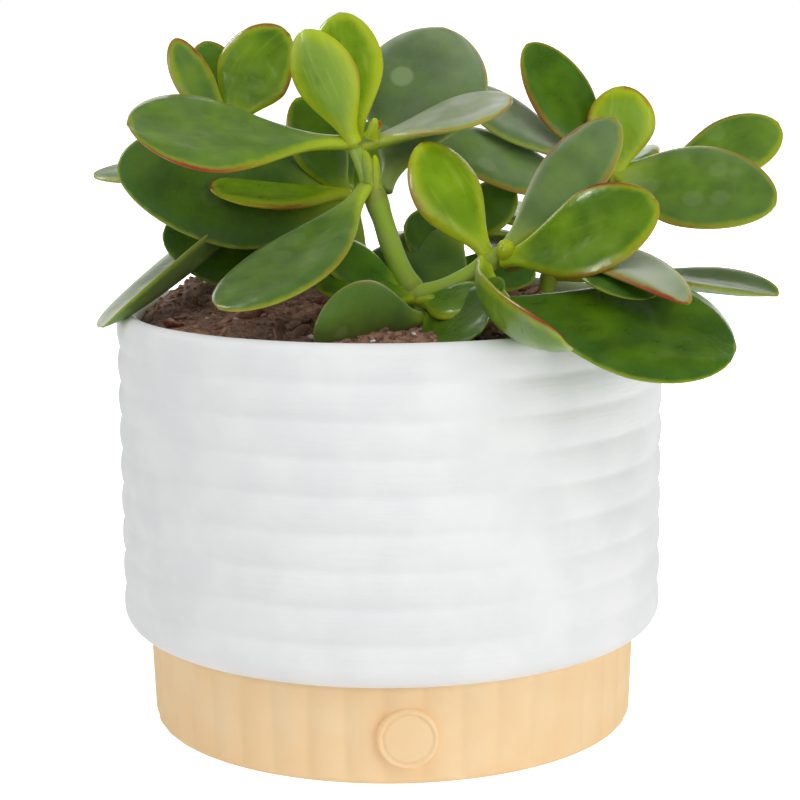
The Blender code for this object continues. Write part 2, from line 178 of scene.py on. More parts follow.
LEFT_LEAVES = [
    ((-9.5, 10, 122.5), (-40.5, -8, 125), 18.5, (0, -0.5, 1), 8, 0, 0.12, 0.60, 0.75, 1.0, 0.1),
    ((-10.5, 9, 118), (-62, -6, 130.5), 32, (0, -1, 0.6), -14, 0, 0.10, 0.52, 0.15, 0.1, 0.35),
    ((-26, 14.5, 125), (-63.8, -25, 96), 23, (-0.6, -0.1, 0.8), 14, 32, 0.40, 0.50, 0.25, 0.2, 1.0),
    ((-8.5, 12, 106), (-53, 2, 113.5), 26, (0, -0.9, 0.7), -16, 0, 0.10, 0.60, 0.10, 0.1, 0.1),
    ((-28.5, 14, 126.2), (-70, 12, 127.2), 17, (0, -0.25, 1), -10, 0, 0.12, 0.60, 0.35, 0.4, 0.7),
    ((-36.7, 8, 138.5), (-49, 4, 159), 9.6, (0.3, -1, 0.2), 0, -34, 0.12, 0.58, 0.50, 0.9, 0.5),
    ((-36.5, 9, 140), (-43.5, 12, 158), 12, (0.3, -1, 0.3), 0, 0, 0.12, 0.60, 0.30, 0.7, 0.1),
    ((-36.5, 8, 138), (-22.6, 8, 159.6), 18.5, (-0.1, -1, 0.3), 0, -50, 0.10, 0.54, 0.60, 0.8, 0.1),
    ((-10.5, 11, 121.5), (-21.5, 6, 145), 14, (0.2, -1, 0.4), 0, 0, 0.12, 0.55, 0.30, 0.3, 0.2),
    ((-9.5, 12, 122), (-12, 15, 140.5), 9, (1, -0.6, 0), 0, 0, 0.12, 0.60, 0.30, 0.3, 0.2),
    ((-8.5, 12.5, 119), (-34, 44, 124), 20, (0, 0, 1), -10, 0, 0.12, 0.60, 0.20, 0.4, 0.3),
    ((-9, 12, 120), (-2, 44, 138), 20, (0, -0.6, 1), 5, 0, 0.12, 0.60, 0.40, 0.5, 0.2),
    ((-36, 9, 140), (-40, 34, 146), 13, (0, -0.4, 1), 0, 0, 0.12, 0.60, 0.55, 0.7, 0.1),
    ((-35.5, 9, 139), (-26, 32, 136), 13, (0, -0.3, 1), 0, 0, 0.12, 0.60, 0.45, 0.6, 0.2),
]
RIGHT_LEAVES = [
    ((54, 25, 122.8), (17, 24, 146), 17, (0.1, -0.6, 1), -12, 0, 0.10, 0.68, 0.20, 0.3, 1.0),
    ((52, 25.5, 118.8), (10, 12, 135), 20.5, (0.1, -0.7, 0.9), -8, 0, 0.10, 0.62, 0.30, 0.7, 0.5),
    ((55, 23, 124.5), (33, 21, 156.8), 17.5, (0.4, -1, 0.5), 0, 0, 0.10, 0.62, 0.25, 0.8, 0.1),
    ((55, 22.5, 124.5), (56.2, 19, 146.8), 16.6, (0, -1, 0.5), 0, 0, 0.10, 0.60, 0.95, 0.9, 0.1),
    ((54.5, 23, 126.2), (91, 6, 119.6), 25.5, (0.1, -0.8, 0.6), 0, 0, 0.08, 0.51, 0.40, 0.6, 0.4),
    ((55, 24, 122), (96, 34, 137), 17.5, (0, -0.8, 0.7), 0, 18, 0.10, 0.70, 0.45, 0.7, 0.3),
    ((40, 36, 99.8), (93.5, 14, 97), 17, (0.1, -0.2, 1), -8, 0, 0.30, 0.72, 0.30, 0.5, 0.5),
    ((55, 23.5, 124), (65, 46, 131), 12, (-0.3, -0.3, 0.8), 0, 0, 0.10, 0.60, 0.40, 0.5, 0.1),
    ((55, 24, 123), (54, 54, 133), 16, (0, -0.5, 1), 0, 0, 0.12, 0.60, 0.45, 0.6, 0.2),
    ((44, 33, 106), (46, 66, 106), 22, (0, 0, 1), -24, 0, 0.12, 0.60, 0.15, 0.3, 0.3),
    ((46, 31, 109), (22, 58, 116), 20, (0, 0, 1), -10, 0, 0.12, 0.60, 0.25, 0.4, 0.3),
]
BACK_LEAVES = [
    ((14.5, 20.5, 107.5), (3.5, 10, 114.5), 13, (0.2, -1, 0.4), 0, 0, 0.10, 0.60, 0.10, 0.1, 0.2),
    ((17, 18.5, 112), (3.5, 5, 100.5), 20, (0.3, -0.8, 0.6), 0, 0, 0.10, 0.54, 0.20, 0.1, 0.4),
    ((14, 21, 104), (35, 14, 101.5), 14, (0, -0.7, 0.8), -20, 0, 0.10, 0.60, 0.10, 0.1, 0.2),
    ((14.5, 20.5, 108.5), (30, 24, 123), 13, (-0.3, -1, 0.4), 0, 0, 0.10, 0.60, 0.20, 0.2, 0.2),
    ((14, 22, 102), (-5.5, 16, 105.5), 15, (0, -0.6, 0.9), 0, 0, 0.10, 0.60, 0.10, 0.1, 0.2),
    ((14, 22, 102), (-16, 52, 101), 22, (0, 0, 1), -16, 0, 0.12, 0.60, 0.20, 0.3, 0.3),
    ((15, 21, 112), (34, 52, 101), 22, (0, 0, 1), -30, 0, 0.12, 0.60, 0.15, 0.3, 0.3),
    ((14.5, 21, 110), (4, 50, 109), 16, (0, -0.2, 1), 0, 0, 0.12, 0.60, 0.25, 0.3, 0.2),
]

# Small leaves that are only beginning to open, in the same columns
FRONT_SHOOTS = [
    ((-3.8, -20.4, 137.2), (-2.6, -23, 141.6), 2.4, (0.3, 1, 0.2), 6, 0, 0.30, 0.55, 0.75, 1.0, 0.0),
    ((-3.4, -19.6, 137), (-1.6, -20.5, 141), 2.2, (-0.6, -1, 0.2), -6, 0, 0.30, 0.55, 0.80, 0.9, 0.0),
    ((-4.0, -22.0, 125.6), (-5.0, -24.0, 134.6), 2.6, (0.5, 1, 0.1), 5, 0, 0.30, 0.60, 0.45, 0.1, 0.0),
    ((-2.4, -21.8, 125), (-2.9, -23.0, 133.6), 2.4, (-0.6, 0.8, 0.1), 8, 0, 0.30, 0.60, 0.70, 0.1, 0.0),
]
NO_SHOOTS = []

# Buds: centre, heading, length, width, youth, redness
FRONT_BUDS = [((25.5, -31.3, 113.3), (0.15, -0.55, 1), 4.6, 4.0, 1.0, 0.1)]
NO_BUDS = []
FIRST_BUD_NUMBER = 60
BUD_RINGS = 14
BUD_SIDES = 24

# Spacing of the pieces' blade coordinates, so that no two leaves carry the same pattern
LEAF_SPACING = 30.0
STEM_START = 50.0
STEM_SPACING = 20.0

SURFACE_VALUES = ("young", "red", "margin", "upper", "bloom_and_sheen", "foot", "scar")
LEAF_SLOT = 0
STEM_SLOT = 1


def linear(hex_code):
    """An sRGB hex colour as linear red, green, blue and alpha."""
    parts = [int(hex_code[k : k + 2], 16) / 255 for k in (1, 3, 5)]
    return tuple(c / 12.92 if c <= 0.04045 else ((c + 0.055) / 1.055) ** 2.4 for c in parts) + (1.0,)


def add_node(tree, kind, sockets=None, out=None, **options):
    """Adds a node with its options. Each socket gets a value, or a link from another node's output.

    Gives back the output named or numbered by out, or the node itself.
    """
    node = tree.nodes.new(kind)
    for name, value in options.items():
        setattr(node, name, value)
    for key, value in (sockets or {}).items():
        if isinstance(value, bpy.types.NodeSocket):
            tree.links.new(value, node.inputs[key])
        else:
            node.inputs[key].default_value = value
    return node if out is None else node.outputs[out]


# Node settings that come up often
SMOOTH = {"out": "Result", "interpolation_type": "SMOOTHSTEP"}
TIMES = {"out": 0, "operation": "MULTIPLY"}
PLUS = {"out": 0, "operation": "ADD"}
BLEND = {"out": 2, "data_type": "RGBA"}


def smooth_step(low, high, value):
    share = min(1.0, max(0.0, (value - low) / (high - low)))
    return share * share * (3 - 2 * share)


# Finishes


def new_finish(name, roughness, specular=0.5):
    mat = bpy.data.materials.new(name)
    mat.use_nodes = True
    shader = mat.node_tree.nodes["Principled BSDF"]
    shader.inputs["Roughness"].default_value = roughness
    shader.inputs["Specular IOR Level"].default_value = specular
    return mat, mat.node_tree, shader


def add_layer(tree, colour, shade, value, limits, factors=()):
    """Lays a shade over a colour, as strongly as a value says.

    The share of the shade goes from the third limit to the fourth while the value goes from the first to the
    second, and each factor multiplies it.
    """
    start, end, first, last = limits
    sockets = {"Value": value, "From Min": start, "From Max": end, "To Min": first, "To Max": last}
    share = add_node(tree, "ShaderNodeMapRange", sockets, **SMOOTH)
    for factor in factors:
        share = add_node(tree, "ShaderNodeMath", {0: share, 1: factor}, **TIMES)
    return add_node(tree, "ShaderNodeMix", {0: share, 6: colour, 7: linear(shade)}, **BLEND)


def make_leaf_skin():
    # Jade plant leaf: a thick fleshy blade under a thin wax. Light enters it, so its shadows stay green. The
    # wax gives a window's glint on the shoulders, and a grey veil that is part powdery wax and part painted
    # sheen, painted strongest where the blade is seen along its surface.
    # The thin flesh at the margin is yellow-green, and its sunlit rim is red-brown.
    mat, tree, shader = new_finish("waxy_jade_leaf", 0.34, 0.45)
    shader.inputs["Subsurface Weight"].default_value = 0.25
    shader.inputs["Subsurface Radius"].default_value = (0.7, 1.0, 0.05)
    shader.inputs["Subsurface Scale"].default_value = 2.2 * MM
    shader.inputs["Coat Roughness"].default_value = 0.13
    young, red, margin, upper, bloom_and_sheen, foot, scar = [
        add_node(tree, "ShaderNodeAttribute", out="Fac", attribute_name=name) for name in SURFACE_VALUES
    ]
    blade = add_node(tree, "ShaderNodeAttribute", out="Vector", attribute_name="blade")
    facing = add_node(tree, "ShaderNodeLayerWeight", {"Blend": 0.5}, out="Facing")
    old = add_node(tree, "ShaderNodeMath", {0: 1.0, 1: young}, out=0, operation="SUBTRACT")

    # Body: green by age, in soft patches about 8 mm across, and bluer towards the margin of an old leaf
    patches = add_node(
        tree, "ShaderNodeTexNoise", {"Vector": blade, "Scale": 1 / 8.0, "Detail": 2.0}, out="Fac"
    )
    shift = add_node(tree, "ShaderNodeMapRange", out="Result", sockets={
        "Value": patches, "From Min": 0.3, "From Max": 0.7, "To Min": -0.2, "To Max": 0.2,
    })
    age = add_node(tree, "ShaderNodeMath", {0: young, 1: shift}, **PLUS)
    ramp = add_node(tree, "ShaderNodeValToRGB", {"Fac": age})
    stops = ramp.color_ramp.elements
    stops[0].position, stops[0].color = 0.0, linear("#3C5E10")
    stops[1].position, stops[1].color = 1.0, linear("#88AD0A")
    stops.new(0.45).color = linear("#5C8206")
    colour = add_layer(tree, ramp.outputs["Color"], "#3F6E26", margin, (1.0, 6.0, 0.55, 0.0), [old])

    # Faint pale streaks along a young blade, the pale yellow-green foot where the leaf clasps the stem, and
    # the paler underside
    lengthwise = add_node(
        tree, "ShaderNodeMapping", {"Vector": blade, "Scale": (1.0, 0.12, 1.0)}, out="Vector"
    )
    streaks = add_node(
        tree, "ShaderNodeTexNoise", {"Vector": lengthwise, "Scale": 1 / 1.3, "Detail": 3.0}, out="Fac"
    )
    fresh = add_node(tree, "ShaderNodeMath", {0: young, 1: 3.0}, out=0, operation="POWER")
    colour = add_layer(tree, colour, "#C2D45E", streaks, (0.5, 0.8, 0.0, 0.5), [fresh])
    colour = add_node(tree, "ShaderNodeMix", {0: foot, 6: colour, 7: linear("#A9C226")}, **BLEND)
    colour = add_layer(tree, colour, "#7FA03A", upper, (0.3, 0.55, 0.3, 0.0))

    # Pale specks about 0.5 mm across: pores, and dust held by the wax
    dust = add_node(
        tree, "ShaderNodeTexNoise", {"Vector": blade, "Scale": 1 / 0.55, "Detail": 2.0}, out="Fac"
    )
    colour = add_layer(tree, colour, "#A9C09A", dust, (0.6, 0.8, 0.0, 0.16), [old])

    # Dried water marks: a few pale soft-edged rounds, about 5 mm across, where the wax is thick
    spots = {"Vector": blade, "Scale": 1 / 9.0, "Randomness": 0.9}
    drops = add_node(tree, "ShaderNodeTexVoronoi", spots).outputs
    picked = add_node(tree, "ShaderNodeSeparateColor", {"Color": drops["Color"]}, out=0)
    picked = add_node(tree, "ShaderNodeMath", {0: picked, 1: 0.55}, out=0, operation="GREATER_THAN")
    colour = add_layer(tree, colour, "#8FA66B", drops["Distance"], (0.24, 0.34, 0.5, 0.0), [picked, bloom_and_sheen])

    # Grey veil, part powdery wax and part painted sheen: clouds about 14 mm across on the upper side,
    # painted strongest where the blade is seen edge-on, in place of the bright room's reflection
    clouds = add_node(
        tree, "ShaderNodeTexNoise", {"Vector": blade, "Scale": 1 / 14.0, "Detail": 5.0}, out="Fac"
    )
    glancing_sheen = add_node(tree, "ShaderNodeMapRange", **SMOOTH, sockets={
        "Value": facing, "From Min": 0.1, "From Max": 0.7, "To Min": 0.22, "To Max": 1.0,
    })
    thick = add_node(
        tree, "ShaderNodeMapRange", {"Value": bloom_and_sheen, "From Min": 0.2, "From Max": 1.0}, out="Result"
    )
    above = add_node(tree, "ShaderNodeMapRange", **SMOOTH, sockets={
        "Value": upper, "From Min": 0.3, "From Max": 0.5, "To Min": 0.15, "To Max": 1.0,
    })
    colour = add_layer(tree, colour, "#C0C6B2", clouds, (0.3, 0.65, 0.45, 1.0), [glancing_sheen, thick, above])

    # Margin: a yellow-green band where the flesh thins, then a red-brown line along the rim's upper edge
    ragged = add_node(
        tree, "ShaderNodeTexNoise", {"Vector": blade, "Scale": 1 / 3.0, "Detail": 3.0}, out="Fac"
    )
    wander = add_node(tree, "ShaderNodeMapRange", out="Result", sockets={
        "Value": ragged, "From Min": 0.3, "From Max": 0.7, "To Min": -0.3, "To Max": 0.3,
    })
    edge = add_node(tree, "ShaderNodeMath", {0: margin, 1: wander}, **PLUS)
    reach = add_node(tree, "ShaderNodeMath", {0: young, 1: 4.0, 2: 0.6}, out=0, operation="MULTIPLY_ADD")
    youth_share = add_node(tree, "ShaderNodeMapRange", out="Result", sockets={
        "Value": young, "From Min": 0.0, "From Max": 0.9, "To Min": 0.3, "To Max": 1.0,
    })
    colour = add_layer(tree, colour, "#BBCB1E", edge, (0.1, reach, 0.9, 0.0), [youth_share])
    on_top = add_node(
        tree, "ShaderNodeMapRange", {"Value": upper, "From Min": 0.2, "From Max": 0.4}, **SMOOTH
    )
    colour = add_layer(tree, colour, "#94381C", edge, (0.3, 1.5, 1.0, 0.0), [on_top, red])
    colour = add_node(tree, "ShaderNodeMix", {0: scar, 6: colour, 7: linear("#6B4A26")}, **BLEND)
    tree.links.new(colour, shader.inputs["Base Color"])

    # Wax: glossier on clean skin, duller under the veil
    wax = add_node(tree, "ShaderNodeTexNoise", {"Vector": blade, "Scale": 1 / 4.0, "Detail": 4.0}, out="Fac")
    dull = add_node(tree, "ShaderNodeMapRange", out="Result", sockets={
        "Value": wax, "From Min": 0.3, "From Max": 0.7, "To Min": 0.24, "To Max": 0.38,
    })
    extra = add_node(tree, "ShaderNodeMath", {0: bloom_and_sheen, 1: 0.16}, **TIMES)
    dull = add_node(tree, "ShaderNodeMath", {0: dull, 1: extra}, **PLUS)
    tree.links.new(dull, shader.inputs["Roughness"])
    coat = add_node(tree, "ShaderNodeMapRange", out="Result", sockets={
        "Value": bloom_and_sheen, "From Min": 0.0, "From Max": 0.6, "To Min": 0.35, "To Max": 0.1,
    })
    tree.links.new(coat, shader.inputs["Coat Weight"])

    # Skin: slow waves about 6 mm long, fine lines along the blade, and pits as fine as the pores
    waves = add_node(
        tree, "ShaderNodeTexNoise", {"Vector": blade, "Scale": 1 / 6.0, "Detail": 2.0}, out="Fac"
    )
    swell = add_node(tree, "ShaderNodeBump", {"Height": waves, "Distance": 0.6 * MM}, out="Normal")
    lined = add_node(
        tree, "ShaderNodeBump", {"Height": streaks, "Distance": 0.03 * MM, "Normal": swell}, out="Normal"
    )
    skin = add_node(
        tree, "ShaderNodeBump", {"Height": dust, "Distance": 0.02 * MM, "Normal": lined}, out="Normal"
    )
    tree.links.new(skin, shader.inputs["Normal"])
    return mat


def make_stem_skin():
    # Young jade stem: smooth green bark with a faint bloom, paler towards the growing end, with dry brown
    # scars at the joints.
    mat, tree, shader = new_finish("green_jade_stem", 0.42, 0.45)
    shader.inputs["Subsurface Weight"].default_value = 0.2
    shader.inputs["Subsurface Radius"].default_value = (0.8, 1.0, 0.15)
    shader.inputs["Subsurface Scale"].default_value = 1.0 * MM
    young = add_node(tree, "ShaderNodeAttribute", out="Fac", attribute_name="young")
    scar = add_node(tree, "ShaderNodeAttribute", out="Fac", attribute_name="scar")
    blade = add_node(tree, "ShaderNodeAttribute", out="Vector", attribute_name="blade")
    lengthwise = add_node(
        tree, "ShaderNodeMapping", {"Vector": blade, "Scale": (1.0, 0.25, 1.0)}, out="Vector"
    )
    streaks = add_node(
        tree, "ShaderNodeTexNoise", {"Vector": lengthwise, "Scale": 1 / 1.4, "Detail": 3.0}, out="Fac"
    )
    colour = add_node(
        tree, "ShaderNodeMix", {0: young, 6: linear("#84A034"), 7: linear("#A9C83E")}, **BLEND
    )
    colour = add_layer(tree, colour, "#9AA76A", streaks, (0.4, 0.75, 0.0, 0.4))
    colour = add_layer(tree, colour, "#8F7443", scar, (0.5, 1.0, 0.0, 0.3))
    tree.links.new(colour, shader.inputs["Base Color"])
    bark = add_node(tree, "ShaderNodeBump", {"Height": streaks, "Distance": 0.1 * MM}, out="Normal")
    tree.links.new(bark, shader.inputs["Normal"])
    return mat


def make_pot_glaze():
    # White stoneware under a matte glaze: an even chalky white, with faint throwing lines.
    mat, tree, shader = new_finish("matte_white_glaze", 0.6, 0.25)
    place = add_node(tree, "ShaderNodeTexCoord", out="Object")
    clouds = add_node(
        tree, "ShaderNodeTexNoise", {"Vector": place, "Scale": 1 / (14 * MM), "Detail": 3.0}, out="Fac"
    )
    colour = add_layer(tree, linear("#EEF0F1"), "#F5F6F6", clouds, (0.3, 0.7, 0.0, 1.0))
    tree.links.new(colour, shader.inputs["Base Color"])
    flat = add_node(tree, "ShaderNodeMapping", {"Vector": place, "Scale": (1.0, 1.0, 9.0)}, out="Vector")
    lines = add_node(
        tree, "ShaderNodeTexNoise", {"Vector": flat, "Scale": 1 / (9 * MM), "Detail": 2.0}, out="Fac"
    )
    thrown = add_node(tree, "ShaderNodeBump", {"Height": lines, "Distance": 0.08 * MM}, out="Normal")
    grit = add_node(
        tree, "ShaderNodeTexNoise", {"Vector": place, "Scale": 1 / (0.9 * MM), "Detail": 2.0}, out="Fac"
    )
    chalky = add_node(
        tree, "ShaderNodeBump", {"Height": grit, "Distance": 0.02 * MM, "Normal": thrown}, out="Normal"
    )
    tree.links.new(chalky, shader.inputs["Normal"])
    return mat


def make_grainy_finish(name, roughness, specular, shades, clouds, limits, grit, height):
    """A dry finish: two shades in clouds, and a grit, each with a size in mm and a detail."""
    mat, tree, shader = new_finish(name, roughness, specular)
    place = add_node(tree, "ShaderNodeTexCoord", out="Object")
    cloud = add_node(tree, "ShaderNodeTexNoise", out="Fac", sockets={
        "Vector": place, "Scale": 1 / (clouds[0] * MM), "Detail": clouds[1],
    })
    colour = add_layer(tree, linear(shades[0]), shades[1], cloud, (*limits, 0.0, 1.0))
    tree.links.new(colour, shader.inputs["Base Color"])
    grains = add_node(tree, "ShaderNodeTexNoise", out="Fac", sockets={
        "Vector": place, "Scale": 1 / (grit[0] * MM), "Detail": grit[1],
    })
    rough = add_node(tree, "ShaderNodeBump", {"Height": grains, "Distance": height * MM}, out="Normal")
    tree.links.new(rough, shader.inputs["Normal"])
    return mat


def make_tray_clay():
    # Unglazed tan stoneware: dry and fine-grained, with a faint warm mottling from the firing.
    shades = ("#FCD9A8", "#FDDFB2")
    return make_grainy_finish("tan_bisque_clay", 0.75, 0.25, shades, (11, 4.0), (0.3, 0.7), (0.8, 3.0), 0.04)


def make_soil_finish(name, dark, light, roughness, lump, height):
    # Parts of a potting mix: matte lumps in two shades, each with crumbs a third as large on it.
    shades = (dark, light)
    crumbs = (lump / 3, 3.0)
    return make_grainy_finish(name, roughness, 0.3, shades, (lump, 4.0), (0.35, 0.65), crumbs, height)


# Leafy stems


class Growth:
    """The points, faces and surface values of one leafy stem, gathered before they become a mesh."""

    def __init__(self):
        self.points = []
        self.faces = []
        self.slots = []
        self.blade = []
        self.values = {name: [] for name in SURFACE_VALUES}

    def add_skin(self, rings, slot):
        """Skins closed rings of (point, blade place, surface values), and closes both ends."""
        first = len(self.points)
        sides = len(rings[0])
        for ring in rings:
            for point, blade, values in ring:
                self.points.append(point)
                self.blade.extend(blade)
                for name in SURFACE_VALUES:
                    self.values[name].append(values.get(name, 0.0))
        faces = [tuple(first + k for k in reversed(range(sides)))]
        for row in range(len(rings) - 1):
            for k in range(sides):
                a = first + row * sides + k
                b = first + row * sides + (k + 1) % sides
                faces.append((a, b, b + sides, a + sides))
        last = first + (len(rings) - 1) * sides
        faces.append(tuple(last + k for k in range(sides)))
        self.faces.extend(faces)
        self.slots.extend([slot] * len(faces))

    def make_object(self, name, finishes):
        mesh = bpy.data.meshes.new(name)
        mesh.from_pydata([point * MM for point in self.points], [], self.faces)
        for finish in finishes:
            mesh.materials.append(finish)
        mesh.polygons.foreach_set("material_index", self.slots)
        for value, numbers in self.values.items():
            mesh.attributes.new(value, "FLOAT", "POINT").data.foreach_set("value", numbers)
        mesh.attributes.new("blade", "FLOAT_VECTOR", "POINT").data.foreach_set("vector", self.blade)
        face_outwards(mesh)
        mesh.shade_smooth()
        return show(name, mesh)


def face_outwards(mesh):
    bm = bmesh.new()
    bm.from_mesh(mesh)
    bmesh.ops.remove_doubles(bm, verts=bm.verts[:], dist=0.000001)
    bmesh.ops.recalc_face_normals(bm, faces=bm.faces[:])
    bm.to_mesh(mesh)
    bm.free()


def show(name, mesh):
    obj = bpy.data.objects.new(name, mesh)
    bpy.context.scene.collection.objects.link(obj)
    return obj


def flatten(obj):
    """The object with its modifiers made into a plain mesh."""
    graph = bpy.context.evaluated_depsgraph_get()
    graph.update()
    mesh = bpy.data.meshes.new_from_object(obj.evaluated_get(graph), depsgraph=graph)
    obj.modifiers.clear()
    obj.data = mesh
    return obj


def stem_line(points):
    """The centreline that a smooth curve through these points follows."""
    curve = bpy.data.curves.new("stem_line", "CURVE")
    curve.dimensions = "3D"
    curve.resolution_u = STEM_STEPS
    spline = curve.splines.new("BEZIER")
    spline.bezier_points.add(len(points) - 1)
    for knot, point in zip(spline.bezier_points, points):
        knot.co = Vector(point)
        knot.handle_left_type = "AUTO"
        knot.handle_right_type = "AUTO"
    obj = show("stem_line", curve)
    graph = bpy.context.evaluated_depsgraph_get()
    graph.update()
    mesh = bpy.data.meshes.new_from_object(obj.evaluated_get(graph), depsgraph=graph)
    line = [vert.co.copy() for vert in mesh.vertices]
    bpy.data.objects.remove(obj, do_unlink=True)
    bpy.data.curves.remove(curve)
    bpy.data.meshes.remove(mesh)
    return line


def grow_stem(growth, row, joints, number):
    """A stem with a swelling and a scar at each joint where leaves or branches leave it."""
    first_radius, last_radius, youth, points = row
    line = stem_line(points)
    lengths = [0.0]
    for a, b in zip(line, line[1:]):
        lengths.append(lengths[-1] + (b - a).length)
    whole = lengths[-1]
    marks = []
    for joint in joints:
        near = min(range(len(line)), key=lambda k: (line[k] - joint).length)
        if (line[near] - joint).length < first_radius + 1.5:
            marks.append(lengths[near])
    side = (line[1] - line[0]).orthogonal().normalized()
    rings = []
    for k, centre in enumerate(line):
        ahead = (line[min(k + 1, len(line) - 1)] - line[max(k - 1, 0)]).normalized()
        side = (side - ahead * side.dot(ahead)).normalized()
        across = ahead.cross(side)
        share = lengths[k] / whole
        radius = first_radius + (last_radius - first_radius) * share
        swell = max([exp(-(((lengths[k] - mark) / 2.2) ** 2)) for mark in marks], default=0.0)
        radius *= 1 + 0.16 * swell
        ring = []
        for j in range(STEM_SIDES):
            turn = 2 * pi * j / STEM_SIDES
            out = side * cos(turn) + across * sin(turn)
            lump = 1 + 0.05 * grain.noise(centre * 0.25 + out * 0.9)
            values = {"young": youth * (0.75 + 0.25 * share), "margin": 9.0, "upper": 1.0, "scar": swell**3}
            place = (radius * turn, lengths[k], STEM_START + STEM_SPACING * number)
            ring.append((centre + out * radius * lump, place, values))
        rings.append(ring)
    ahead = (line[-1] - line[-2]).normalized()
    last_ring = rings[-1]
    for reach, shrink in ((0.45, 0.85), (0.75, 0.5), (0.88, 0.15)):
        rise = ahead * last_radius * reach
        rings.append([(line[-1] + (p - line[-1]) * shrink + rise, place, v) for p, place, v in last_ring])
    growth.add_skin(rings, STEM_SLOT)


def leaf_half_width(share, width, widest):
    """Half the blade's width at this share of its length: a narrow stalk, then a blunt oval."""
    t = share ** (log(0.5) / log(widest))
    power = 0.95 if t < 0.5 else 0.52
    blade = width / 2 * max(0.0, sin(pi * t)) ** power
    stalk = STALK_HALF * (1 - share) ** 2
    return sqrt(blade * blade + stalk * stalk)


def leaf_half_thick(share, half_width, thick):
    fleshy = 0.45 + 0.55 * sin(pi * min(1.0, 0.25 + 0.75 * share)) ** 0.7
    blunt = sqrt(min(1.0, (1 - share) * 7))
    return min(thick / 2 * max(0.12, fleshy * blunt), max(half_width, 0.05))


def leaf_path(base, tip, face, bend, sway):
    """Points along the blade's middle, with the directions across it and out of its upper face."""
    along = (tip - base).normalized()
    up = (face - along * face.dot(along)).normalized()
    side = up.cross(along)
    path = [Vector((0, 0, 0))]
    frames = []
    for k in range(PATH_STEPS + 1):
        share = k / PATH_STEPS - 0.5
        ahead = along * cos(sway * share) + side * sin(sway * share)
        across = side * cos(sway * share) - along * sin(sway * share)
        lift = up * cos(bend * share) - ahead * sin(bend * share)
        frames.append((across, lift))
        path.append(path[-1] + ahead * cos(bend * share) + up * sin(bend * share))
    scale = (tip - base).length / path[PATH_STEPS].length
    turn = path[PATH_STEPS].rotation_difference(tip - base)
    return [
        (base + turn @ (point * scale), turn @ across, turn @ lift)
        for point, (across, lift) in zip(path, frames)
    ]


def grow_leaf(growth, row, number, dice):
    base, tip, width, face, bend, sway, cup, widest, youth, redness, bloom_and_sheen = row
    base, tip = Vector(base), Vector(tip)
    length = (tip - base).length
    size = min(1.0, width / 12)
    thick = LEAF_THICK * (0.45 + 0.55 * size)
    path = leaf_path(base, tip, Vector(face), radians(bend), radians(sway))
    lean = dice.uniform(-0.035, 0.035)
    wave = dice.uniform(0.2, 0.55) * size
    wave_turn = dice.uniform(0, 2 * pi)
    furrow = dice.uniform(0.15, 0.4) * size
    rings = []
    for row_number in range(LEAF_RINGS):
        k = row_number / (LEAF_RINGS - 1)
        share = min(0.9995, 0.45 * k + 0.55 * (1 - cos(pi * k)) / 2)
        half = leaf_half_width(share, width, widest)
        deep = leaf_half_thick(share, half, thick)
        spot = share * PATH_STEPS
        low = int(spot)
        here, across, lift = path[low]
        there = path[min(low + 1, PATH_STEPS)][0]
        centre = here.lerp(there, spot - low)
        ring = []
        for j in range(LEAF_SIDES):
            angle = 2 * pi * j / LEAF_SIDES
            c, s = cos(angle), sin(angle)
            left = 0 if c > 0 else 1
            x = half * c * (1 + lean * sin(pi * share) * (1 - 2 * left))
            if s > 0:
                trough = furrow * exp(-((x / 1.8) ** 2)) * (1 - share) * smooth_step(0.05, 0.3, share)
                z = deep * 0.85 * s**0.9 - trough
            else:
                z = -deep * 1.15 * abs(s) ** 1.15
            z += cup * half * c * c - ROLL * half * smooth_step(0.7, 1.0, abs(c))
            ripple = sin(5.5 * share + wave_turn + 1.7 * left)
            z += wave * ripple * c * c * smooth_step(0.1, 0.5, share)
            edge = min(half * (1 - abs(c)), length * (1 - share) * 1.2) + (0.0 if s >= -0.01 else 0.25)
            sun = 0.65 + 0.35 * sin(7 * share + wave_turn + 2.1 * left)
            sun *= smooth_step(0.15, 0.65, share)
            values = {
                "young": youth,
                "red": redness * sun,
                "margin": edge,
                "upper": 0.5 + 0.5 * s,
                "bloom_and_sheen": bloom_and_sheen,
                "foot": 0.7 * smooth_step(0.3, 0.03, share),
            }
            place = (x, share * length, LEAF_SPACING * number)
            ring.append((centre + across * x + lift * z, place, values))
        rings.append(ring)
    growth.add_skin(rings, LEAF_SLOT)


def grow_bud(growth, centre, heading, length, width, number, youth, redness):
    """A closed bud: small scales in crossed pairs that show as two clefts."""
    ahead = Vector(heading).normalized()
    side = ahead.orthogonal().normalized()
    across = ahead.cross(side)
    rings = []
    for row_number in range(BUD_RINGS):
        polar = pi * (row_number + 0.15) / (BUD_RINGS - 0.7)
        ring = []
        for j in range(BUD_SIDES):
            turn = 2 * pi * j / BUD_SIDES
            cleft = exp(-((sin(turn) / 0.16) ** 2)) * smooth_step(0.9, 2.4, polar)
            radius = width / 2 * sin(polar) ** 0.8 * (1 - 0.22 * cleft)
            reach = -cos(polar) * length / 2 * (1 - 0.18 * cleft)
            out = side * cos(turn) + across * sin(turn)
            values = {"young": youth, "red": redness, "margin": 0.5, "upper": 1.0, "foot": 0.5}
            point = Vector(centre) + ahead * reach + out * radius
            ring.append((point, (radius * turn, reach, LEAF_SPACING * number), values))
        rings.append(ring)
    growth.add_skin(rings, LEAF_SLOT)


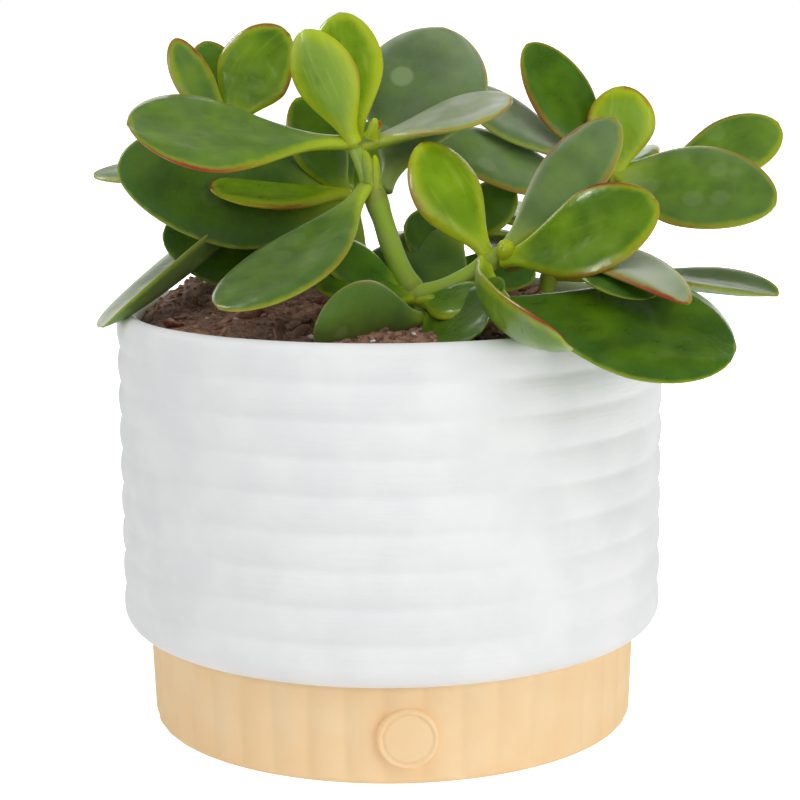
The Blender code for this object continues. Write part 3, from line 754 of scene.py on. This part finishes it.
def grow_plant(name, stems, leaves, shoots, buds, finishes, seed):
    growth = Growth()
    dice = random.Random(seed)
    joints = [Vector(row[0]) for row in leaves] + [Vector(row[3][0]) for row in stems[1:]]
    for number, row in enumerate(stems):
        grow_stem(growth, row, joints, number)
    for number, row in enumerate(leaves + shoots):
        grow_leaf(growth, row, number, dice)
    for number, bud in enumerate(buds):
        grow_bud(growth, *bud[:4], FIRST_BUD_NUMBER + number, *bud[4:])
    return growth.make_object(name, finishes)


# Pot, tray and potting mix


def turned(name, profile, steps, closed=True):
    """A profile of (radius, height) points turned about the Z axis."""
    verts = [(radius * MM, 0.0, height * MM) for radius, height in profile]
    edges = [(k, k + 1) for k in range(len(verts) - 1)]
    if closed:
        edges.append((len(verts) - 1, 0))
    mesh = bpy.data.meshes.new(name)
    mesh.from_pydata(verts, edges, [])
    obj = show(name, mesh)
    screw = obj.modifiers.new("Turn", "SCREW")
    screw.axis = "Z"
    screw.angle = 2 * pi
    screw.steps = steps
    screw.render_steps = steps
    screw.use_merge_vertices = True
    screw.merge_threshold = 0.000001
    flatten(obj)
    face_outwards(obj.data)
    return obj


def arc(centre, radius, first, last, count):
    """Points on a round corner, from one angle to another in degrees."""
    turns = [radians(first + (last - first) * k / (count - 1)) for k in range(count)]
    return [(centre[0] + radius * cos(turn), centre[1] + radius * sin(turn)) for turn in turns]


def wall_radius(z):
    """The pot's wall: soft convex ribs that meet in narrow grooves."""
    low = FIRST_GROOVE_Z - (GROOVES - 1) * RIB_PITCH
    place = (z - low) / RIB_PITCH
    if z > FIRST_GROOVE_Z:
        from_groove = min(1.0, (z - FIRST_GROOVE_Z) / (RIB_PITCH * 0.5))
        away = 1 - from_groove
    elif z < low:
        away = max(0.0, 1 - (low - z) / (RIB_PITCH * 0.5))
    else:
        away = abs(2 * (place - int(place)) - 1)
    return POT_R - RIB_BULGE * away**2.2


def make_pot(glaze):
    rim_z = POT_TOP - RIM_ROUND
    profile = arc((POT_BORE_R + RIM_ROUND, rim_z), RIM_ROUND, 180, 90, 9)
    profile += arc((POT_R - RIM_ROUND - 0.1, rim_z), RIM_ROUND + 0.1, 90, 0, 9)
    step = 0.36
    z = rim_z - 0.7
    reach = [-0.5, -0.25, 0.0, 0.25, 0.5]
    while z > STEP_Z + HEEL_ROUND:
        profile.append((sum(wall_radius(z + r) for r in reach) / len(reach), z))
        z -= step
    profile += arc((POT_R - HEEL_ROUND, STEP_Z + HEEL_ROUND), HEEL_ROUND, 0, -80, 14)
    profile += [(TRAY_R_TOP - 0.4, STEP_Z)]
    profile += [(SPIGOT_R + 0.4, STEP_Z), (SPIGOT_R, STEP_Z - 0.4)]
    profile += arc((SPIGOT_R - 1.0, SPIGOT_Z + 1.0), 1.0, 0, -90, 5)
    profile += [(DRAIN_R + 0.5, SPIGOT_Z), (DRAIN_R, SPIGOT_Z + 0.5)]
    profile += [(DRAIN_R, POT_FLOOR_Z - 0.5), (DRAIN_R + 0.5, POT_FLOOR_Z), (SPIGOT_R - 6.0, POT_FLOOR_Z)]
    profile += [(SPIGOT_R - 4.4, POT_FLOOR_Z + 1.6), (SPIGOT_R - 4.0, STEP_Z + 2.0)]
    profile += [(POT_BORE_R - 1.0, STEP_Z + 10.0), (POT_BORE_R, STEP_Z + 13.0)]
    pot = turned("ribbed_pot", profile, POT_STEPS)
    pot.data.materials.append(glaze)
    pot.data.shade_smooth()
    pot.data.set_sharp_from_angle(angle=radians(55))
    return pot


def new_rule(name, numbers, seeds=()):
    """A node tree with these inputs beside its geometry and finish, and the outputs of its input node."""
    tree = bpy.data.node_groups.new(name, "GeometryNodeTree")
    kinds = [("Geometry", "Geometry")] + [(number, "Float") for number in numbers]
    kinds += [(seed, "Int") for seed in seeds] + [("Finish", "Material")]
    for title, kind in kinds:
        tree.interface.new_socket(title, in_out="INPUT", socket_type="NodeSocket" + kind)
    tree.interface.new_socket("Geometry", in_out="OUTPUT", socket_type="NodeSocketGeometry")
    return tree, add_node(tree, "NodeGroupInput").outputs


def end_rule(tree, shape, finish):
    """Makes the shape real, gives it its finish and puts it out."""
    real = add_node(tree, "GeometryNodeRealizeInstances", {"Geometry": shape}, out=0)
    dressed = add_node(tree, "GeometryNodeSetMaterial", {"Geometry": real, "Material": finish}, out=0)
    add_node(tree, "NodeGroupOutput", {"Geometry": dressed})


def flute_rule():
    """Nodes that press upright flutes into the points marked as the outer wall."""
    tree, given = new_rule("flute_rule", ("Flutes", "Depth", "Crown", "Turn"))
    place = add_node(tree, "GeometryNodeInputPosition", out=0)
    parts = add_node(tree, "ShaderNodeSeparateXYZ", {0: place}).outputs
    turn = add_node(tree, "ShaderNodeMath", {0: parts["Y"], 1: parts["X"]}, out=0, operation="ARCTAN2")
    turn = add_node(tree, "ShaderNodeMath", {0: turn, 1: given["Turn"]}, out=0, operation="SUBTRACT")
    turn = add_node(tree, "ShaderNodeMath", {0: turn, 1: given["Flutes"]}, **TIMES)
    turn = add_node(tree, "ShaderNodeMath", {0: turn, 1: 0.5}, **TIMES)
    wave = add_node(tree, "ShaderNodeMath", {0: turn}, out=0, operation="SINE")
    wave = add_node(tree, "ShaderNodeMath", {0: wave}, out=0, operation="ABSOLUTE")
    crown = add_node(tree, "ShaderNodeMath", {0: wave, 1: given["Crown"]}, out=0, operation="POWER")
    dip = add_node(tree, "ShaderNodeMath", {0: 1.0, 1: crown}, out=0, operation="SUBTRACT")
    dip = add_node(tree, "ShaderNodeMath", {0: dip, 1: given["Depth"]}, **TIMES)
    outer = add_node(
        tree, "GeometryNodeInputNamedAttribute", {"Name": "outer"}, out="Attribute", data_type="FLOAT"
    )
    dip = add_node(tree, "ShaderNodeMath", {0: dip, 1: outer}, **TIMES)
    level = add_node(tree, "ShaderNodeCombineXYZ", {"X": parts["X"], "Y": parts["Y"]}, out=0)
    outward = add_node(tree, "ShaderNodeVectorMath", {0: level}, out=0, operation="NORMALIZE")
    inward = add_node(tree, "ShaderNodeVectorMath", {0: outward, 1: (-1, -1, -1)}, **TIMES)
    offset = add_node(tree, "ShaderNodeVectorMath", {0: inward, "Scale": dip}, out=0, operation="SCALE")
    pressed = {"Geometry": given["Geometry"], "Offset": offset}
    end_rule(tree, add_node(tree, "GeometryNodeSetPosition", pressed, out=0), given["Finish"])
    return tree


def use_rule(obj, tree, settings):
    """Runs a node tree on the object with these named inputs, and keeps the result as a plain mesh."""
    mod = obj.modifiers.new(tree.name, "NODES")
    mod.node_group = tree
    for item in tree.interface.items_tree:
        if item.in_out == "INPUT" and item.name in settings:
            mod[item.identifier] = settings[item.name]
    return flatten(obj)


def make_tray(clay):
    wall = [(TRAY_R_TOP - 0.5, TRAY_TOP), (TRAY_R_TOP, TRAY_TOP - 0.5)]
    rows = 14
    for k in range(1, rows):
        z = TRAY_TOP - 0.5 + (FOOT_ROUND - TRAY_TOP + 0.5) * k / rows
        wall.append((TRAY_R_FOOT + (TRAY_R_TOP - TRAY_R_FOOT) * z / TRAY_TOP, z))
    foot = arc((TRAY_R_FOOT - FOOT_ROUND, FOOT_ROUND), FOOT_ROUND, 0, -90, 9)
    under = [(20.0, 0.0)]
    inside = [(0.0, TRAY_FLOOR_Z), (TRAY_BORE_R - 1.0, TRAY_FLOOR_Z), (TRAY_BORE_R, TRAY_FLOOR_Z + 1.0)]
    inside += [(TRAY_BORE_R, TRAY_TOP - 0.4), (TRAY_BORE_R + 0.4, TRAY_TOP)]
    profile = [(0.0, 0.0)] + (inside + wall + foot + under)[::-1]
    tray = turned("fluted_tray", profile, FLUTES * FLUTE_STEPS, closed=False)
    outer = tray.data.attributes.new("outer", "FLOAT", "POINT")
    marks = []
    for vert in tray.data.vertices:
        radius, z = vert.co.xy.length / MM, vert.co.z / MM
        rounding = smooth_step(0.0, FOOT_ROUND, z)
        marks.append(rounding if radius > TRAY_BORE_R + 1.5 and z > 0.01 else 0.0)
    outer.data.foreach_set("value", marks)
    use_rule(tray, flute_rule(), {
        "Flutes": float(FLUTES), "Depth": FLUTE_DEPTH * MM, "Crown": FLUTE_CROWN,
        "Turn": FLUTE_TURN, "Finish": clay,
    })
    tray.data.shade_smooth()
    tray.data.set_sharp_from_angle(angle=radians(60))
    return tray


def make_medallion(clay):
    """A plain round medallion on the front of the tray, with a narrow groove and a soft raised rim."""
    profile = [(0.0, 0.36), (DISC_R - 1.9, 0.36), (DISC_R - 1.6, 0.3), (DISC_R - 1.35, 0.06)]
    profile += [(DISC_R - 1.1, 0.06), (DISC_R - 0.85, 0.4), (DISC_R - 0.6, 0.52), (DISC_R - 0.35, 0.46)]
    profile += [(DISC_R - 0.1, 0.2), (DISC_R, -0.1), (DISC_R + 0.1, -0.8), (DISC_R + 0.1, -2.5), (0.0, -2.5)]
    disc = turned("blank_medallion", profile, 96, closed=False)
    out = Vector((sin(DISC_TURN), -cos(DISC_TURN), 0.0))
    place = Matrix.Translation((out * DISC_FACE_R + Vector((0, 0, DISC_Z))) * MM)
    disc.data.transform(place @ out.to_track_quat("Z", "Y").to_matrix().to_4x4())
    disc.data.materials.append(clay)
    disc.data.shade_smooth()
    disc.data.set_sharp_from_angle(angle=radians(60))
    return disc


def soil_height(radius):
    """The height of the smooth mound: a low cone, a steeper slope and a shallow edge along the wall."""
    knee_r = SOIL_R - SOIL_EDGE
    if radius < SOIL_MID_R:
        return SOIL_TOP_Z + (SOIL_MID_Z - SOIL_TOP_Z) * radius / SOIL_MID_R
    if radius < knee_r:
        fall = (SOIL_WALL_Z + SOIL_EDGE_RISE - SOIL_MID_Z) * (radius - SOIL_MID_R) / (knee_r - SOIL_MID_R)
        return SOIL_MID_Z + fall
    return SOIL_WALL_Z + SOIL_EDGE_RISE * (SOIL_R - radius) / SOIL_EDGE


def make_mound(finish):
    """The lumpy top of the potting mix, closed down to the bottom of the pot."""
    radii = [SOIL_R * k / SOIL_RINGS for k in range(SOIL_RINGS + 1)]
    profile = [(radius, soil_height(radius)) for radius in radii]
    profile += [(SOIL_R, STEP_Z + 12.6), (SPIGOT_R - 4.8, STEP_Z + 2.4)]
    profile += [(SPIGOT_R - 6.4, SOIL_FLOOR_Z), (0.0, SOIL_FLOOR_Z)]
    mound = turned("potting_mix", profile, SOIL_STEPS, closed=False)
    for vert in mound.data.vertices:
        if vert.co.z > (SOIL_WALL_Z - 1.0) * MM:
            spot = Vector((vert.co.x, vert.co.y, 0.0)) / MM
            lump = 1.3 * grain.noise(spot / 9.0) + 0.8 * grain.noise(spot / 3.6)
            lump += 0.45 * grain.noise(spot / 1.7)
            near_wall = smooth_step(SOIL_R, SOIL_R - 5.0, spot.length)
            away = (spot.x - HEAP_X) ** 2 + (spot.y - HEAP_Y) ** 2
            heap = HEAP_RISE * exp(-(away / (2 * HEAP_REACH**2)))
            vert.co.z += (lump - 0.5 + heap - 0.9 * (1 - near_wall)) * MM
    mound.data.materials.append(finish)
    mound.data.shade_smooth()
    mound.data.set_sharp_from_angle(angle=radians(60))
    return mound


def scatter_rule():
    """Nodes that strew lumpy grains over a surface, by density, size, flatness and roughness."""
    numbers = ("Density", "Smallest", "Largest", "Flatness", "Roughness")
    tree, given = new_rule("scatter_rule", numbers, ("Seed",))
    seed = given["Seed"]
    spread = add_node(tree, "GeometryNodeDistributePointsOnFaces", out="Points", sockets={
        "Mesh": given["Geometry"], "Density": given["Density"], "Seed": seed,
    })
    ball = add_node(tree, "GeometryNodeMeshIcoSphere", {"Radius": 0.5, "Subdivisions": 2}, out="Mesh")
    lumps = add_node(tree, "ShaderNodeTexNoise", out="Color", noise_dimensions="4D", sockets={
        "Scale": 1.7, "Detail": 2.0, "W": 3.0,
    })
    pushed = add_node(
        tree, "ShaderNodeVectorMath", {0: lumps, 1: (-0.5, -0.5, -0.5)}, out=0, operation="ADD"
    )
    pushed = add_node(tree, "ShaderNodeVectorMath", out=0, operation="SCALE", sockets={
        0: pushed, "Scale": given["Roughness"],
    })
    lump = add_node(tree, "GeometryNodeSetPosition", {"Geometry": ball, "Offset": pushed}, out=0)
    size = add_node(tree, "FunctionNodeRandomValue", out=1, data_type="FLOAT", sockets={
        2: given["Smallest"], 3: given["Largest"], "Seed": seed,
    })
    stretch = add_node(tree, "FunctionNodeRandomValue", out=0, data_type="FLOAT_VECTOR", sockets={
        0: (0.7, 0.5, 0.4), 1: (1.3, 0.9, 0.7), "Seed": seed,
    })
    flat = add_node(tree, "ShaderNodeCombineXYZ", {"X": 1.0, "Y": 1.0, "Z": given["Flatness"]}, out=0)
    stretch = add_node(tree, "ShaderNodeVectorMath", {0: stretch, 1: flat}, **TIMES)
    scale = add_node(tree, "ShaderNodeVectorMath", {0: stretch, "Scale": size}, out=0, operation="SCALE")
    turn = add_node(tree, "FunctionNodeRandomValue", out=0, data_type="FLOAT_VECTOR", sockets={
        0: (-0.6, -0.6, -pi), 1: (0.6, 0.6, pi), "Seed": seed,
    })
    strewn = add_node(tree, "GeometryNodeInstanceOnPoints", out=0, sockets={
        "Points": spread, "Instance": lump, "Rotation": turn, "Scale": scale,
    })
    end_rule(tree, strewn, given["Finish"])
    return tree


def strew(name, mound, tree, settings):
    """Grains on the open top of the mound."""
    bed = mound.data.copy()
    bm = bmesh.new()
    bm.from_mesh(bed)
    lowest = (SOIL_WALL_Z - 4) * MM
    hidden = [face for face in bm.faces if face.normal.z < 0.2 or face.calc_center_median().z < lowest]
    bmesh.ops.delete(bm, geom=hidden, context="FACES")
    bm.to_mesh(bed)
    bm.free()
    grains = use_rule(show(name, bed), tree, settings)
    grains.data.shade_flat()
    return grains


# Camera, floor and lights


def place_camera():
    data = bpy.data.cameras.new("camera")
    data.lens = LENS_MM
    data.sensor_width = SENSOR_MM
    data.clip_start = 0.01
    data.clip_end = 50.0
    camera = show("camera", data)
    back = Vector((0, -cos(CAMERA_ELEVATION), sin(CAMERA_ELEVATION)))
    right = Vector((1, 0, 0))
    up = back.cross(right)
    turned_right = right * cos(CAMERA_ROLL) + up * sin(CAMERA_ROLL)
    turned_up = up * cos(CAMERA_ROLL) - right * sin(CAMERA_ROLL)
    facing = Matrix((turned_right, turned_up, back)).transposed().to_4x4()
    place = (Vector(CAMERA_TARGET) + back * CAMERA_DISTANCE) * MM
    camera.matrix_world = Matrix.Translation(place) @ facing
    bpy.context.scene.camera = camera


def add_softbox(name, place, width, height, power, glints=True, fills=True):
    """A soft panel that faces the plant's foot, and that lights it, shows as a glint in gloss, or both."""
    data = bpy.data.lights.new(name, "AREA")
    data.shape = "RECTANGLE"
    data.size = width
    data.size_y = height
    data.energy = power
    lamp = show(name, data)
    lamp.visible_camera = False
    lamp.visible_glossy = glints
    lamp.visible_diffuse = fills
    lamp.location = place
    lamp.rotation_mode = "QUATERNION"
    lamp.rotation_quaternion = (Vector(LIT_POINT) - Vector(place)).to_track_quat("-Z", "Y")


def light_studio():
    """A white room with soft light: the camera sees white, and gloss sees mostly the softboxes."""
    scene = bpy.context.scene
    scene.view_settings.view_transform = "Standard"
    world = bpy.data.worlds.new("white_room")
    world.use_nodes = True
    scene.world = world
    tree = world.node_tree
    path = add_node(tree, "ShaderNodeLightPath").outputs
    seen = add_node(tree, "ShaderNodeMath", {0: path["Is Camera Ray"], 1: ROOM_SEEN - ROOM_FILL}, **TIMES)
    gloss = add_node(tree, "ShaderNodeMath", {0: path["Is Glossy Ray"], 1: ROOM_GLOSS - ROOM_FILL}, **TIMES)
    strength = add_node(tree, "ShaderNodeMath", {0: seen, 1: gloss}, **PLUS)
    strength = add_node(tree, "ShaderNodeMath", {0: strength, 1: ROOM_FILL}, **PLUS)
    room = tree.nodes["Background"]
    room.inputs["Color"].default_value = (1.0, 1.0, 1.0, 1.0)
    tree.links.new(strength, room.inputs["Strength"])
    add_softbox("key_light", (0.78, -0.70, 0.20), 0.9, 0.7, 4.4, glints=False)
    add_softbox("top_light", (0.08, -0.42, 0.88), 0.9, 0.7, 3.3, glints=False)
    add_softbox("left_light", (-0.90, -0.45, 0.48), 0.7, 0.6, 1.5, glints=False)
    add_softbox("side_window", (-0.66, 0.22, 0.68), 0.16, 0.34, 3.0, fills=False)
    add_softbox("low_window", (-0.66, -0.60, 0.16), 0.12, 0.25, 1.6, fills=False)
    add_softbox("back_panel", (0.0, 1.1, 0.45), 2.0, 0.6, 7.0)


def make_floor():
    mesh = bpy.data.meshes.new("floor")
    corners = [(x * FLOOR_REACH, y * FLOOR_REACH, FLOOR_Z) for x, y in ((-1, -1), (1, -1), (1, 1), (-1, 1))]
    mesh.from_pydata(corners, [], [(0, 1, 2, 3)])
    # White paper sweep: bright enough to leave only the faintest shade under the tray.
    mat, tree, shader = new_finish("white_paper_floor", 0.9, 0.1)
    place = add_node(tree, "ShaderNodeTexCoord", out="Object")
    fibres = add_node(tree, "ShaderNodeTexNoise", {"Vector": place, "Scale": 1.5, "Detail": 2.0}, out="Fac")
    colour = add_node(
        tree, "ShaderNodeMix", {0: fibres, 6: linear("#E2E2E2"), 7: linear("#E6E6E6")}, **BLEND
    )
    tree.links.new(colour, shader.inputs["Base Color"])
    shader.inputs["Emission Color"].default_value = (1.0, 1.0, 1.0, 1.0)
    seen = add_node(tree, "ShaderNodeLightPath", out="Is Camera Ray")
    glow = add_node(tree, "ShaderNodeMath", {0: seen, 1: FLOOR_GLOW}, **PLUS)
    tree.links.new(glow, shader.inputs["Emission Strength"])
    mesh.materials.append(mat)
    floor = show("floor", mesh)


def main():
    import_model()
    place_camera()
    light_studio()
    make_floor()

    glaze = make_pot_glaze()
    clay = make_tray_clay()
    skins = [make_leaf_skin(), make_stem_skin()]
    peat = make_soil_finish("moist_peat", "#785A4C", "#A6806E", 0.9, 2.2, 0.4)
    crumb = make_soil_finish("peat_crumb", "#7E5E4E", "#B08A76", 0.9, 1.6, 0.3)
    bark = make_soil_finish("composted_bark", "#785040", "#B08470", 0.75, 3.0, 0.3)
    perlite = make_soil_finish("perlite", "#CFC8BC", "#F2EFE8", 0.85, 0.8, 0.2)

    pot = make_pot(glaze)
    tray = make_tray(clay)
    medallion = make_medallion(clay)
    mound = make_mound(peat)
    scatter = scatter_rule()
    crumbs = strew("peat_crumbs", mound, scatter, {
        "Density": 130000.0, "Smallest": 1.0 * MM, "Largest": 3.0 * MM,
        "Flatness": 1.0, "Roughness": 0.8, "Seed": 4, "Finish": crumb,
    })
    chips = strew("bark_chips", mound, scatter, {
        "Density": 9000.0, "Smallest": 4.0 * MM, "Largest": 9.0 * MM,
        "Flatness": 0.45, "Roughness": 0.9, "Seed": 11, "Finish": bark,
    })
    grains = strew("perlite_grains", mound, scatter, {
        "Density": 6000.0, "Smallest": 0.8 * MM, "Largest": 2.2 * MM,
        "Flatness": 1.0, "Roughness": 0.6, "Seed": 23, "Finish": perlite,
    })

    plants = [
        ("front_plant", "front_stem", FRONT_STEMS, FRONT_LEAVES, FRONT_SHOOTS, FRONT_BUDS),
        ("left_plant", "left_stem", LEFT_STEMS, LEFT_LEAVES, NO_SHOOTS, NO_BUDS),
        ("right_plant", "right_stem", RIGHT_STEMS, RIGHT_LEAVES, NO_SHOOTS, NO_BUDS),
        ("back_plant", "back_stem", BACK_STEMS, BACK_LEAVES, NO_SHOOTS, NO_BUDS),
    ]
    pieces = [
        (pot, "pot", "pot_ceramic"),
        (tray, "base_tray", "tray_clay"),
        (medallion, None, "tray_clay"),
        (mound, "soil", "soil"),
        (crumbs, None, "soil"),
        (chips, None, "soil"),
        (grains, None, "soil"),
    ]
    for seed, (name, node, stems, leaves, shoots, buds) in enumerate(plants):
        pieces.append((grow_plant(name, stems, leaves, shoots, buds, skins, seed), node, "leaf"))
    for piece, node, slot in pieces:
        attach(piece, "root")
        if node:
            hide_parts(node)


main()
